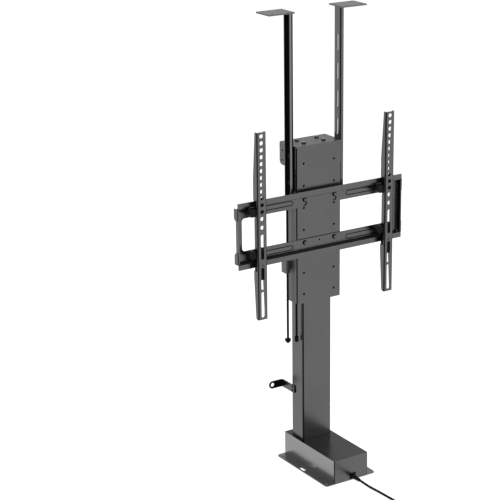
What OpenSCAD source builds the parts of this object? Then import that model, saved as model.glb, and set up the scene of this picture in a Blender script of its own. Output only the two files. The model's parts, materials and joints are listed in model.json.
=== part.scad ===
// Motorised screen lift: a three-stage telescopic column on a low base box.
// The column carries a hanging carriage, a slotted screen frame with two arms,
// and two posts that lift the lid of the cabinet.
// Millimetres. +Z is up and -Y is the front. The origin is on the spindle axis at floor level.

/* [Column tubes] */
// Width of the outer tube
outer_w = 77.5; // [70:0.5:84]
// Depth of the outer tube
outer_d = 46; // [42:0.5:52]
// Wall of the outer tube
outer_wall = 2.5; // [2:0.1:3]
// Wall of the middle tube
middle_wall = 2; // [1.6:0.1:2.6]
// Wall of the inner tube
inner_wall = 2; // [1.6:0.1:2.6]
// Space between one tube and the next
stage_gap = 1.75; // [1.2:0.05:2.2]
// Radius of the outer tube's long edges
tube_corner = 4; // [3.2:0.1:5]
// Height of the cap's top above the floor with the lift down
lift_h = 756; // [700:1:900]
// Travel of each moving stage
stage_stroke = 450; // [300:5:480]

/* [Drive] */
// Diameter of the lower lift spindle
spindle_dia = 12; // [10:0.5:12.5]
// Outer diameter of the hollow upper spindle
upper_spindle_dia = 18; // [17:0.25:19]
// Bore of the hollow upper spindle
upper_spindle_bore = 13.2; // [13:0.1:14]
// Outer diameter of the worm wheel
wheel_dia = 31; // [28:0.5:32]
// Height of the worm wheel
wheel_h = 12; // [9:0.5:13]
// Teeth on the worm wheel
wheel_teeth = 30; // [20:1:36]
// Outer diameter of the worm
worm_dia = 9.2; // [8:0.2:10]
// Diameter of the motor
motor_dia = 38; // [34:0.5:40]
// Length of the motor
motor_len = 80; // [60:1:86]
// Diameter of the motor shaft
shaft_dia = 6; // [5:0.25:7]

/* [Base] */
// Width of the base cover
base_w = 92.5; // [88:0.5:100]
// How far the base reaches in front of the column axis
base_front = 159.2; // [150:0.2:180]
// How far the base reaches behind the column axis
base_back = 43; // [40:0.5:60]
// Height of the base cover's top above the floor
base_h = 57; // [54:0.5:70]
// Sheet of the base cover
cover_t = 1.5; // [1:0.1:2]
// Radius of the cover's upright edges
cover_corner = 2.5; // [2:0.5:5]
// Width of the floor plate
floor_w = 135; // [130:0.5:150]
// Thickness of the floor plate
floor_t = 3; // [2:0.1:4]
// Distance of the floor bolts from the middle, left and right
floor_bolt_x = 61; // [59:0.1:61.5]
// Position of the front floor bolts
floor_bolt_front = 150; // [130:0.5:152]
// Position of the rear floor bolts
floor_bolt_back = 26; // [10:0.5:30]
// Diameter of the floor bolt holes
floor_bolt_dia = 6.5; // [4.5:0.1:6.8]

/* [Carriage] */
// Width of the carriage and of its front plate
plate_w = 114; // [108:0.5:118]
// Length of the front plate
plate_len = 358; // [345:1:380]
// Thickness of the front plate
plate_t = 3; // [2:0.1:4]
// Sheet of the carriage channel
channel_t = 2.5; // [2:0.1:3]
// Depth of the carriage channel
channel_d = 33; // [28:0.5:36]
// Running space between the column's front and the carriage
carriage_gap = 2.7; // [2:0.1:4]
// Spacing of the front plate's two columns of holes
grid_x = 80; // [70:1:90]
// Spacing of the holes in a column
grid_z = 50; // [46:1:52]
// Holes in each column
grid_rows = 7; // [4:1:7]
// Distance of the first holes below the cap's top
grid_top = 39.5; // [30:0.5:45]
// Diameter of the holes in the front plate
grid_hole_dia = 5.5; // [4.5:0.1:6.5]
// Thickness of the cap
cap_t = 3; // [2:0.1:4]
// Depth of the cap from the front plate's face to its back
cap_d = 64.7; // [58:0.1:70]
// Height of the cap's side cheeks
cheek_h = 51; // [40:1:60]
// Spacing of the cap bolts, left to right
cap_bolt_x = 52; // [44:1:60]
// Spacing of the cap bolts, front to back
cap_bolt_y = 27; // [24:0.5:30]

/* [Screen frame] */
// Width of the screen frame
frame_w = 434; // [420:1:470]
// Height of the frame's flat plate
frame_h = 120; // [112:1:124]
// Sheet of the frame
frame_t = 2.5; // [2:0.1:3]
// Distance of the frame's middle below the cap's top
frame_drop = 173.5; // [165:0.5:180]
// How far the frame's lips stand in front of its plate
lip_reach = 11; // [9.5:0.1:12]
// Height of the turned-up and turned-down lips
lip_h = 14.5; // [12:0.1:16]
// Height of the frame's window
window_h = 74; // [70:1:76]
// Width of the strips at the frame's ends
strip_w = 15.7; // [12:0.1:20]
// Distance of a pressed groove's middle from the plate's edge
groove_edge = 9.25; // [8.5:0.05:10.5]
// Width of the pressed grooves
groove_w = 12; // [9:0.1:12.5]
// Depth of the pressed grooves
groove_depth = 1.4; // [0.6:0.1:1.6]
// Width of the line pressed round a groove
groove_line = 2; // [1:0.1:3]
// Distance of a groove's inner end from the middle
groove_in = 70; // [66:1:90]
// Distance of a groove's outer end from the middle
groove_out = 192; // [180:1:194]
// Spacing of the frame bolts, left to right
frame_bolt_x = 79; // [70:1:86]
// Distance of the upper frame bolts below the plate's upper edge
frame_bolt_in = 6.5; // [6.5:0.5:9]
// Height of the lower frame bolts above the plate's lower edge
frame_bolt_rise = 15.25; // [10:0.25:17]

/* [Arms] */
// Distance of each arm's middle from the middle of the frame
arm_x = 168.5; // [100:0.5:176]
// Width of an arm
arm_w = 24; // [23:0.5:26]
// Depth of an arm
arm_d = 16.5; // [15.5:0.5:20]
// Sheet of an arm
arm_t = 2; // [1.5:0.1:2.2]
// Outer radius of an arm's bends
arm_bend = 3; // [2.2:0.1:3.5]
// Depth of an arm between the frame's rails
arm_waist = 12.5; // [11:0.1:14.5]
// Length of an arm
arm_len = 418; // [410:1:440]
// Distance of an arm's top above the frame's middle
arm_top = 228; // [224:0.5:240]
// Spacing of the round holes down an arm
arm_pitch = 15; // [14:0.1:15.2]
// Round holes in the upper row
arm_holes = 12; // [8:1:12]
// Diameter of the holes and width of the slots in an arm
arm_hole_dia = 9; // [8:0.1:10]
// Diameter of a clamp knob
knob_dia = 19; // [17:0.5:19.4]
// Height of a clamp knob
knob_h = 9.9; // [8:0.1:10]
// Distance of a knob's axis from its arm's middle
knob_x = 19.8; // [19.6:0.1:21]

/* [Lid posts] */
// Length of a lid post
post_len = 414.4; // [400:0.4:440]
// Depth of a lid post
post_d = 24; // [22:0.5:25]
// Width of a post's flanges
post_flange = 9; // [8:0.5:10]
// Outer radius of a post's bends
post_bend = 3.5; // [2.5:0.1:4]
// Distance of a post's slots behind its front
post_line = 11.3; // [10.5:0.1:13]
// Sheet of a lid post
post_t = 2; // [1.5:0.1:2.4]
// Height of the post's foot above the floor with the lift down
post_foot = 630; // [624:1:632]
// Length of the slots in a post
post_slot_len = 37; // [34:0.5:40]
// Spacing of the slots in a post
post_slot_pitch = 62; // [60:0.5:64]
// Slots in a post
post_slots = 6; // [4:1:6]
// Width of a lid pad
pad_w = 65.5; // [55:0.5:80]
// Depth of a lid pad
pad_d = 51.5; // [45:0.5:60]
// Thickness of a lid pad
pad_t = 3; // [2:0.1:4]
// Spacing of the screw holes in a lid pad
pad_hole_spacing = 38; // [30:0.5:40]
// Diameter of the screw holes in a lid pad
pad_hole_dia = 5; // [4:0.1:6]

/* [Rods and straps] */
// Diameter of the two hanging rods
rod_dia = 5.2; // [4.5:0.1:5.6]
// Height of the rods' lower ends above the floor
rod_foot = 297; // [260:1:330]
// Height of the wall straps' middle above the floor
strap_z = 173; // [120:1:240]
// Width of a wall strap
strap_w = 18; // [16:0.5:20]
// Thickness of a wall strap
strap_t = 3; // [2:0.1:4]
// Distance of the wall behind the column axis
wall_y = 62; // [56:0.5:70]
// Distance of a strap's eye from the middle
strap_eye_x = 67.5; // [60:0.5:80]
// Diameter of a strap's eye
strap_eye_dia = 9.5; // [8:0.1:10]

/* [Power cord] */
// Diameter of the power cord
cord_dia = 5.5; // [5:0.1:5.6]
// Radius of the coil's outer turn
coil_r = 34.5; // [33:0.1:38]
// Step from one turn of the coil to the next
coil_pitch = 6.1; // [6.05:0.05:6.4]
// Height from one layer of the coil to the next
coil_layer = 5.95; // [5.9:0.05:6.3]

/* [Hidden] */
$fn = 48;
eps = 0.01;
// Radial clearance of a shaft that turns in a bore
run_fit = 0.1;
// Clearance between flat faces that slide past each other
slide_fit = 0.3;
// Radial clearance of a bolt in its hole
bolt_fit = 0.2;

// Tubes, from the outside in
middle_w = outer_w - 2 * (outer_wall + stage_gap);
middle_d = outer_d - 2 * (outer_wall + stage_gap);
inner_w = middle_w - 2 * (middle_wall + stage_gap);
inner_d = middle_d - 2 * (middle_wall + stage_gap);
cap_z = lift_h;
plate_top = cap_z - cap_t;
head_t = 8;
head_z = plate_top - head_t;
outer_top = head_z - 8;
middle_top = head_z - 4;
glide_t = stage_gap - slide_fit - 0.05;
glide_len = 40;

// Base heights, from the floor up
floor_corner = 6;
floor_slot = [22, 8.4];
housing_h = 33;
lid_t = 4;
foot_t = 4;
lid_z = floor_t + housing_h;
foot_z = lid_z + lid_t;
column_z = foot_z + foot_t;
housing_l = 36;
housing_r = 40;
housing_d = 66;
foot_screw_l = 30;
foot_screw_r = 33.5;
foot_screw_y = 28.5;
foot_screw_dia = 6;
bearing_d = 22;
bearing_h = 7;
bearing_z = floor_t + 4;
journal_dia = 8;
wheel_z = bearing_z + bearing_h + 3.5;
worm_z = wheel_z + wheel_h / 2;
mesh_gap = 0.4;
worm_x = (wheel_dia + worm_dia) / 2 + mesh_gap;
motor_face = -housing_d / 2;
journal_y = 15;
cover_top = base_h - cover_t;

// Moving blocks inside the tubes, from the bottom up
middle_z = column_z + 16;
block_h = 30;
upper_spindle_z = middle_z + block_h + slide_fit;
collar_h = 6;
inner_z = upper_spindle_z + collar_h + 2;
spindle_top = outer_top - 17;
upper_spindle_top = middle_top - 29;
nut_dia = 22;

// Layers of the carriage, from the column's front outwards
web_back = -outer_d / 2 - carriage_gap;
web_front = web_back - channel_t;
plate_front = web_front - plate_t;
frame_front = plate_front - frame_t;
lip_front = frame_front - lip_reach;
arm_back = lip_front - 2.5;
arm_front = arm_back - arm_d;
side_x = plate_w / 2;
channel_back = web_front + channel_d;
channel_corner = 5;
cheek_gap = 0.25;
cheek_x = side_x + cheek_gap;
cap_x = cheek_x + cap_t;
cap_back = plate_front + cap_d;
cap_corner = 8;
cap_bolt_mid = 2.8;
bolt_dia = 6;
cap_head_dia = 8.8;
post_web = cap_x + 0.25;
post_front = plate_front + 7;
post_mid = post_front + post_line;

// Frame, measured from its middle
frame_z = cap_z - frame_drop;
fold_r = 2;
end_x = frame_w / 2;
end_in = end_x - frame_t - fold_r;
window_x = end_x - strip_w;
groove_z = frame_h / 2 - groove_edge;
frame_bolt_up = frame_h / 2 - frame_bolt_in;
frame_bolt_down = frame_h / 2 - frame_bolt_rise;
frame_bolt_dia = 5;
frame_head_dia = 10.8;
frame_washer_rim = 2.2;
centre_hole_dia = 4;
key_drop = 8.4;
ear_cut = 5;
ear_low = window_h / 2 - 1;
window_corner = 8;
groove_r = groove_w / 2;

// Arms and clamps
clamp_web = arm_front + arm_t;
clamp_t = 2;
clamp_half = arm_w / 2 - arm_bend;
ear_t = 3;
ear_back = arm_back + 1.2;
ear_front = ear_back - ear_t;
knob_back = ear_front - slide_fit;
rail_top = frame_z + frame_h / 2;
rail_low = frame_z - frame_h / 2;
knob_in = 7;
knob_rise = 19;
knob_top_z = rail_top - knob_in;
knob_bottom_z = rail_low + knob_rise;
arm_high = frame_z + arm_top;
arm_low = arm_high - arm_len;
cut_below = 20.5;
cut_above = 18.5;
cut_under = 19.5;
cut_over = 29.5;
upper_cut = [rail_top - cut_below, rail_top + cut_above];
lower_cut = [rail_low - cut_under, rail_low + cut_over];
clamp_low = rail_low - 2 * cut_under - 0.5;
clamp_high = upper_cut[1] + 2;
clamp_face_low = upper_cut[0] + 4;
clamp_pin_z = rail_low - 8;
waist_back = arm_front + arm_waist;
arm_taper_low = 95;
arm_taper_top = 105;
arm_first = 8.7;
arm_lone_holes = [189.5, 208.8];
arm_slots = [[252.5, 56], [324.2, 50.5], [383.5, 59]];
arm_pin = 294;
cut_front = clamp_web + 2;

// Wall straps
strap_front = 9;
strap_screw_y = strap_front + 7;
strap_screw_z = [strap_z - 4.5, strap_z + 4.5];
strap_screw_dia = 4;
strap_sink_h = 1.5;

// Lid posts
post_top = post_foot + post_len;
post_slot_z = post_foot + 28.5;
post_slot_w = bolt_dia + 3 * bolt_fit;
post_bolt_rise = 43.5;
post_pitch_slack = 2;
post_bolt_pitch = post_slot_pitch - post_pitch_slack;
post_bolt_z = [post_foot + post_bolt_rise, post_foot + post_bolt_rise + post_bolt_pitch];
pad_mid = plate_front + pad_d / 2;
pad_hole_in = 14.5;

// Rods
rod_x = 66.5;
rod_y = -5;
trip_x = (outer_w / 2 + side_x - channel_t) / 2;
trip_y = -10.2;
trip_rise = 165;
trip_top = plate_top - plate_len + trip_rise;
clip_h = 12;
clip_half = 5;
clip_drop = 20;
clip_rise = 25;
clip_z = [trip_top - clip_drop, plate_top - plate_len + clip_rise];
block_rise = 69;
guide_h = 29;
guide_back = 14;
block_z = [plate_top - plate_len + block_rise, plate_top - plate_len + block_rise + guide_h];

// Cord: the relief leaves the cover's front, and the route's points are chosen by hand
gland_x = 5;
gland_z = 8.5;
relief_len = 28;
cord_z = cord_dia / 2 + 0.05;
coil_mid = [-30, -385];
run_end = -379.5;
relief_end = -base_front - relief_len;
run_points = [[gland_x, relief_end, gland_z], [gland_x, relief_end - 6, gland_z],
    [6.4, -203, 6.8], [8.8, -214, 4.5], [11, -226, 3.1], [12.6, -240, cord_z],
    [13.8, -260, cord_z], [14.8, -280, cord_z], [15.5, -300, cord_z], [15, -325, cord_z],
    [11, -350, cord_z], [6, -367, cord_z], [coil_mid[0] + coil_r, coil_mid[1] + 11, cord_z],
    [coil_mid[0] + coil_r, run_end, cord_z]];
plug_z = 8.7;
tail_len = 60;

// Four layers of the coil, each this many turns, with half a turn of climb between layers
coil_turns = 1.6875;

// A rectangle with round corners, flat
module round_rect(w, d, r) {
    square([w - 2 * r, d], center = true);
    square([w, d - 2 * r], center = true);
    for (x = [-1, 1], y = [-1, 1])
        translate([x * (w / 2 - r), y * (d / 2 - r)]) circle(r);
}

// A slot with round ends, flat, along Y
module slot_shape(len, w) {
    square([w, len - w], center = true);
    for (s = [-1, 1]) translate([0, s * (len - w) / 2]) circle(w / 2);
}

// A quarter of a bent sheet, flat, in the +X +Y quarter
module bend_shape(inner_r, t) {
    intersection() {
        difference() {
            circle(inner_r + t);
            circle(inner_r);
        }
        square(inner_r + t);
    }
}

// A round bar along Y, from y0 to y1
module bar_y(x, z, r, y0, y1) {
    translate([x, y0, z]) rotate([-90, 0, 0]) cylinder(r = r, h = y1 - y0);
}

// A round bar along X, from x0 to x1
module bar_x(y, z, r, x0, x1) {
    translate([x0, y, z]) rotate([0, 90, 0]) cylinder(r = r, h = x1 - x0);
}

// A box given by its lowest and highest corners
module span(low, high) {
    translate(low) cube(high - low);
}

// A flat outline in the X-Z plane, pushed from y0 to y1
module sheet_y(y0, y1) {
    translate([0, y1, 0]) rotate([90, 0, 0]) linear_extrude(y1 - y0) children();
}

// A flat outline in the Y-Z plane, pushed from x0 to x1
module sheet_x(x0, x1) {
    translate([x0, 0, 0]) rotate([90, 0, 90]) linear_extrude(x1 - x0) children();
}

module tube(w, d, wall, corner, z0, z1) {
    translate([0, 0, z0]) linear_extrude(z1 - z0) difference() {
        round_rect(w, d, corner);
        round_rect(w - 2 * wall, d - 2 * wall, max(corner - wall, 0.5));
    }
}

// Four sliding pads round a tube, on its outside or its inside
module glides(w, d, side, z0) {
    for (s = [-1, 1]) {
        translate([s * (w / 2 + side * glide_t / 2), 0, z0 + glide_len / 2])
            cube([glide_t, d * 0.5, glide_len], center = true);
        translate([0, s * (d / 2 + side * glide_t / 2), z0 + glide_len / 2])
            cube([w * 0.6, glide_t, glide_len], center = true);
    }
}

// Base

module floor_plate() {
    mid_y = (base_back - base_front) / 2;
    color("dimgray") difference() {
        translate([0, mid_y, 0]) linear_extrude(floor_t)
            round_rect(floor_w, base_front + base_back, floor_corner);
        for (x = [-1, 1]) {
            for (y = [-floor_bolt_front, floor_bolt_back])
                translate([x * floor_bolt_x, y, -1]) cylinder(d = floor_bolt_dia, h = floor_t + 2);
            translate([x * floor_bolt_x, mid_y + 3.6, -1])
                linear_extrude(floor_t + 2) slot_shape(floor_slot[0], floor_slot[1]);
            for (y = cover_screw_y())
                translate([x * cover_screw_x(), y, -1])
                    cylinder(d = 4 + 2 * bolt_fit, h = floor_t + 2);
            for (y = cover_screw_y())
                translate([x * cover_screw_x(), y, -eps]) cylinder(d = 8.4, h = 1.6);
        }
        for (x = [-foot_screw_l, foot_screw_r], y = [-foot_screw_y, foot_screw_y])
            translate([x, y, -1]) cylinder(d = foot_screw_dia, h = floor_t + 2);
    }
}

function cover_screw_x() = base_w / 2 - cover_t - 6;
function cover_screw_y() = [cover_t + 4 - base_front, base_back - cover_t - 4];

module base_cover() {
    mid_y = (base_back - base_front) / 2;
    depth = base_front + base_back;
    color("dimgray") {
        difference() {
            translate([0, mid_y, floor_t]) linear_extrude(base_h - floor_t)
                round_rect(base_w, depth, cover_corner);
            translate([0, mid_y, floor_t - 1]) linear_extrude(cover_top - floor_t + 1)
                round_rect(base_w - 2 * cover_t, depth - 2 * cover_t, cover_corner - cover_t);
            translate([0, 0, cover_top - 1]) linear_extrude(cover_t + 2)
                round_rect(outer_w + 1.2, outer_d + 1.2, tube_corner + 0.6);
            span([gland_x - 8, -base_front - 1, floor_t - 1],
                [gland_x + 8, -base_front + cover_t + 1, gland_z + 8.5]);
        }
        for (x = [-1, 1], y = cover_screw_y()) difference() {
            translate([x * cover_screw_x(), y, floor_t + 5]) cube([12, 8, 10], center = true);
            translate([x * cover_screw_x(), y, floor_t - 1]) cylinder(d = 4, h = 8);
        }
    }
}

// Countersunk screws that hold the cover from below the floor plate
module cover_screws() {
    color("silver") for (x = [-1, 1], y = cover_screw_y())
        translate([x * cover_screw_x(), y, 0.3]) {
            cylinder(d = 4, h = floor_t + 5.5);
            cylinder(d = 7.8, h = 1.2);
        }
}

module gearbox_housing() {
    color("gray") difference() {
        span([-housing_l, -housing_d / 2, floor_t], [housing_r, housing_d / 2, lid_z]);
        translate([0, 0, bearing_z]) cylinder(d = bearing_d, h = lid_z);
        translate([0, 0, wheel_z - 1]) cylinder(d = wheel_dia + 3, h = lid_z);
        bar_y(worm_x, worm_z, worm_dia / 2 + 2, motor_face - 1, journal_y);
        bar_y(worm_x, worm_z, shaft_dia / 2 + run_fit, journal_y - 1, journal_y + 6);
        for (x = [-foot_screw_l, foot_screw_r], y = [-foot_screw_y, foot_screw_y])
            translate([x, y, 0]) cylinder(d = foot_screw_dia + 2 * bolt_fit, h = lid_z + 1);
    }
}

module gearbox_lid() {
    color("gray") difference() {
        span([-housing_l, -housing_d / 2, lid_z], [housing_r, housing_d / 2, foot_z]);
        translate([0, 0, lid_z - 1]) cylinder(d = spindle_dia + 1, h = lid_t + 2);
        for (x = [-foot_screw_l, foot_screw_r], y = [-foot_screw_y, foot_screw_y])
            translate([x, y, lid_z - 1])
                cylinder(d = foot_screw_dia + 2 * bolt_fit, h = lid_t + 2);
    }
}

module spindle_bearing() {
    color("silver") translate([0, 0, bearing_z]) difference() {
        cylinder(d = bearing_d, h = bearing_h);
        translate([0, 0, -1]) cylinder(d = journal_dia + 2 * run_fit, h = bearing_h + 2);
    }
}

module motor_body() {
    color("dimgray") difference() {
        union() {
            bar_y(worm_x, worm_z, motor_dia / 2, motor_face - motor_len, motor_face - 3);
            bar_y(worm_x, worm_z, motor_dia / 2 - 2, motor_face - 3, motor_face);
            bar_y(worm_x, worm_z, motor_dia / 4, motor_face - motor_len - 4,
                motor_face - motor_len);
        }
        bar_y(worm_x, worm_z, shaft_dia / 2 + run_fit, motor_face - motor_len + 10, motor_face + 1);
    }
}

// Motor shaft with the worm's thread as rings
module motor_shaft() {
    root_r = worm_dia / 2 - 1;
    ring_step = 3;
    rings = 9;
    color("silver") {
        bar_y(worm_x, worm_z, shaft_dia / 2, motor_face - motor_len + 12, journal_y + 5);
        bar_y(worm_x, worm_z, root_r, -14, 14);
        for (i = [0 : rings - 1])
            bar_y(worm_x, worm_z, worm_dia / 2, -12.7 + i * ring_step, -11.3 + i * ring_step);
    }
}

module worm_wheel() {
    tooth_h = 1.6;
    root_r = wheel_dia / 2 - tooth_h;
    color("goldenrod") translate([0, 0, wheel_z]) difference() {
        union() {
            cylinder(r = root_r, h = wheel_h);
            for (i = [0 : wheel_teeth - 1]) rotate([0, 0, i * 360 / wheel_teeth])
                translate([root_r - 0.5, -0.8, 1.5]) cube([tooth_h + 0.3, 1.6, wheel_h - 3]);
        }
        translate([0, 0, -1]) cylinder(d = spindle_dia, h = wheel_h + 2);
    }
}

board_low = [-cover_screw_x() + 6, 30 - base_front, floor_t + 6];
board_size = [36, 80, 1.6];

// Printed board on four stand-offs
module control_board() {
    color("darkgreen") {
        translate(board_low) cube(board_size);
        for (x = [4, board_size[0] - 4], y = [4, board_size[1] - 4])
            translate([board_low[0] + x, board_low[1] + y, floor_t])
                cylinder(d = 5, h = board_low[2] - floor_t);
    }
}

// Transformer, relays, capacitor and terminals on the board
module board_parts() {
    top = board_low[2] + board_size[2];
    color("black") translate([board_low[0], board_low[1], top]) {
        translate([4, 48, 0]) cube([28, 26, 22]);
        for (y = [12, 28]) translate([5, y, 0]) cube([12, 12, 14]);
        translate([26, 22, 0]) cylinder(d = 11, h = 20);
        for (y = [4, 34]) translate([22, y, 0]) cube([11, 7, 8]);
    }
}

// Column

module outer_tube() {
    color("gray") difference() {
        tube(outer_w, outer_d, outer_wall, tube_corner, column_z, outer_top);
        for (z = strap_screw_z)
            bar_x(strap_screw_y, z, strap_screw_dia / 2, -outer_w, outer_w);
    }
}

module column_foot() {
    foot_x = housing_r + 2;
    foot_d = housing_d;
    color("gray") difference() {
        span([-foot_x, -foot_d / 2, foot_z], [foot_x, foot_d / 2, column_z]);
        translate([0, 0, foot_z - 1]) cylinder(d = spindle_dia + 4, h = foot_t + 2);
        for (x = [-foot_screw_l, foot_screw_r], y = [-foot_screw_y, foot_screw_y])
            translate([x, y, foot_z - 1])
                cylinder(d = foot_screw_dia + 2 * bolt_fit, h = foot_t + 2);
    }
}

// Screws that run through the foot and the gearbox into the floor plate
module foot_screws() {
    color("silver") for (x = [-foot_screw_l, foot_screw_r], y = [-foot_screw_y, foot_screw_y])
        translate([x, y, 0.5]) {
            cylinder(d = foot_screw_dia, h = column_z - 0.5);
            translate([0, 0, column_z - 0.5]) cylinder(d = 9.6, h = 4);
        }
}

module outer_glides() {
    color("white") glides(outer_w - 2 * outer_wall, outer_d - 2 * outer_wall, -1,
        outer_top - glide_len - 7);
}

module wall_strap(side) {
    bend_in = 3;
    face_x = outer_w / 2;
    low = strap_z - strap_w / 2;
    bend_y = wall_y - strap_t - bend_in;
    bend_x = face_x + strap_t + bend_in;
    color("black") mirror([side < 0 ? 1 : 0, 0, 0]) {
        difference() {
            span([face_x, strap_front, low], [face_x + strap_t, bend_y, low + strap_w]);
            for (z = strap_screw_z) {
                bar_x(strap_screw_y, z, strap_screw_dia / 2 + bolt_fit,
                    face_x - 1, face_x + strap_t + 1);
                strap_sink(z, bolt_fit, 1);
            }
        }
        translate([bend_x, bend_y, low]) linear_extrude(strap_w)
            mirror([1, 0]) bend_shape(bend_in, strap_t);
        difference() {
            union() {
                span([bend_x, wall_y - strap_t, low], [strap_eye_x, wall_y, low + strap_w]);
                bar_y(strap_eye_x, strap_z, strap_w / 2, wall_y - strap_t, wall_y);
            }
            bar_y(strap_eye_x, strap_z, strap_eye_dia / 2, wall_y - strap_t - 1, wall_y + 1);
        }
    }
}

// Cone of a countersunk head in the right strap's face, grown by a fit and carried on outwards
module strap_sink(z, fit, over) {
    head_x = outer_w / 2 + strap_t;
    root_r = strap_screw_dia / 2 + fit;
    translate([head_x - strap_sink_h, strap_screw_y, z]) rotate([0, 90, 0])
        cylinder(r1 = root_r, r2 = root_r + strap_sink_h + over, h = strap_sink_h + over);
}

// Two countersunk screws through each strap into the column's side wall
module strap_screws() {
    head_x = outer_w / 2 + strap_t;
    color("black") for (s = [-1, 1], z = strap_screw_z) mirror([s < 0 ? 1 : 0, 0, 0]) {
        bar_x(strap_screw_y, z, strap_screw_dia / 2, outer_w / 2 - outer_wall + 0.2,
            head_x - strap_sink_h + eps);
        strap_sink(z, 0, 0);
    }
}

module wall_strap_left() { wall_strap(-1); }
module wall_strap_right() { wall_strap(1); }

module lift_spindle() {
    color("silver") {
        translate([0, 0, bearing_z]) cylinder(d = journal_dia, h = bearing_h + 1);
        translate([0, 0, bearing_z + bearing_h + 0.5])
            cylinder(d = spindle_dia, h = spindle_top - bearing_z - bearing_h - 0.5);
    }
}

module middle_tube() {
    color("silver") tube(middle_w, middle_d, middle_wall, tube_corner - 1.5, middle_z, middle_top);
}

// End block of the middle tube, which holds the lower nut
module middle_block() {
    color("darkgray") translate([0, 0, middle_z]) difference() {
        linear_extrude(block_h)
            round_rect(middle_w - 2 * middle_wall, middle_d - 2 * middle_wall, 1);
        translate([0, 0, -1]) cylinder(d = nut_dia, h = block_h + 2);
    }
}

module middle_nut() {
    color("goldenrod") translate([0, 0, middle_z]) difference() {
        cylinder(d = nut_dia, h = block_h);
        translate([0, 0, -1]) cylinder(d = spindle_dia + 2 * run_fit, h = block_h + 2);
    }
}

module middle_glides() {
    color("white") {
        glides(middle_w, middle_d, 1, middle_z + 5);
        glides(middle_w - 2 * middle_wall, middle_d - 2 * middle_wall, -1,
            middle_top - glide_len - 7);
    }
}

// Hollow spindle that turns with the lower one and rides up on the middle stage
module upper_spindle() {
    color("silver") translate([0, 0, upper_spindle_z]) difference() {
        union() {
            cylinder(d = upper_spindle_dia + 6, h = collar_h);
            cylinder(d = upper_spindle_dia, h = upper_spindle_top - upper_spindle_z);
        }
        translate([0, 0, -1]) cylinder(d = upper_spindle_bore, h = lift_h);
    }
}

module inner_tube() {
    color("silver") tube(inner_w, inner_d, inner_wall, tube_corner - 2.5, inner_z, head_z);
}

module inner_block() {
    color("darkgray") translate([0, 0, inner_z]) difference() {
        linear_extrude(block_h)
            round_rect(inner_w - 2 * inner_wall, inner_d - 2 * inner_wall, 0.5);
        translate([0, 0, -1]) cylinder(d = nut_dia, h = block_h + 2);
    }
}

module inner_nut() {
    color("goldenrod") translate([0, 0, inner_z]) difference() {
        cylinder(d = nut_dia, h = block_h);
        translate([0, 0, -1]) cylinder(d = upper_spindle_dia + 2 * run_fit, h = block_h + 2);
    }
}

module inner_glides() {
    color("white") glides(inner_w, inner_d, 1, inner_z + 5);
}

// Carriage

module head_plate() {
    color("gray") difference() {
        translate([0, cap_bolt_mid, head_z]) linear_extrude(head_t)
            round_rect(cap_bolt_x + 32, cap_bolt_y + 22, 4);
        for (x = [-1, 1], y = [-1, 1])
            translate([x * cap_bolt_x / 2, cap_bolt_mid + y * cap_bolt_y / 2, head_z - 1])
                cylinder(d = bolt_dia + 2 * bolt_fit, h = head_t + 2);
    }
}

// Cap with a cheek down each side; the cheeks carry the lid posts
module cap_bracket() {
    cheek_low = cap_z - cheek_h;
    cheek_front = plate_front + 3.2;
    tongue_low = post_foot + 25;
    round_r = 10;
    color("gray") {
        difference() {
            translate([0, (plate_front + cap_back) / 2, plate_top]) linear_extrude(cap_t)
                round_rect(2 * cap_x, cap_d, 1);
            for (x = [-1, 1], y = [-1, 1])
                translate([x * cap_bolt_x / 2, cap_bolt_mid + y * cap_bolt_y / 2, plate_top - 1])
                    cylinder(d = bolt_dia + 2 * bolt_fit, h = cap_t + 2);
        }
        for (side = [-1, 1]) mirror([side < 0 ? 1 : 0, 0, 0]) difference() {
            sheet_x(cheek_x, cap_x) union() {
                translate([cheek_front, cheek_low + round_r])
                    square([cap_back - cheek_front, plate_top - cheek_low - round_r]);
                translate([cheek_front, cheek_low])
                    square([cap_back - cheek_front - round_r, round_r]);
                translate([cap_back - round_r, cheek_low + round_r]) circle(round_r);
                translate([post_front, tongue_low])
                    square([post_d, cheek_low - tongue_low + 1]);
            }
            for (z = post_bolt_z)
                bar_x(post_mid, z, bolt_dia / 2 + bolt_fit, cheek_x - 1, cap_x + 1);
            bar_x(cap_back - 12, cap_z - 18, 2.5, cheek_x - 1, cap_x + 1);
            bar_x(cap_back - 10, cap_z - 40, 2.5, cheek_x - 1, cap_x + 1);
        }
    }
}

module cap_bolts() {
    washer_t = 0.8;
    head_h = 2.6;
    color("gray") for (x = [-1, 1], y = [-1, 1])
        translate([x * cap_bolt_x / 2, cap_bolt_mid + y * cap_bolt_y / 2, 0]) {
            translate([0, 0, head_z + 0.5]) cylinder(d = bolt_dia, h = cap_z - head_z);
            translate([0, 0, cap_z]) cylinder(d = cap_head_dia + 1.6, h = washer_t);
            translate([0, 0, cap_z + washer_t]) cylinder(d = cap_head_dia, h = head_h);
        }
}

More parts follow.
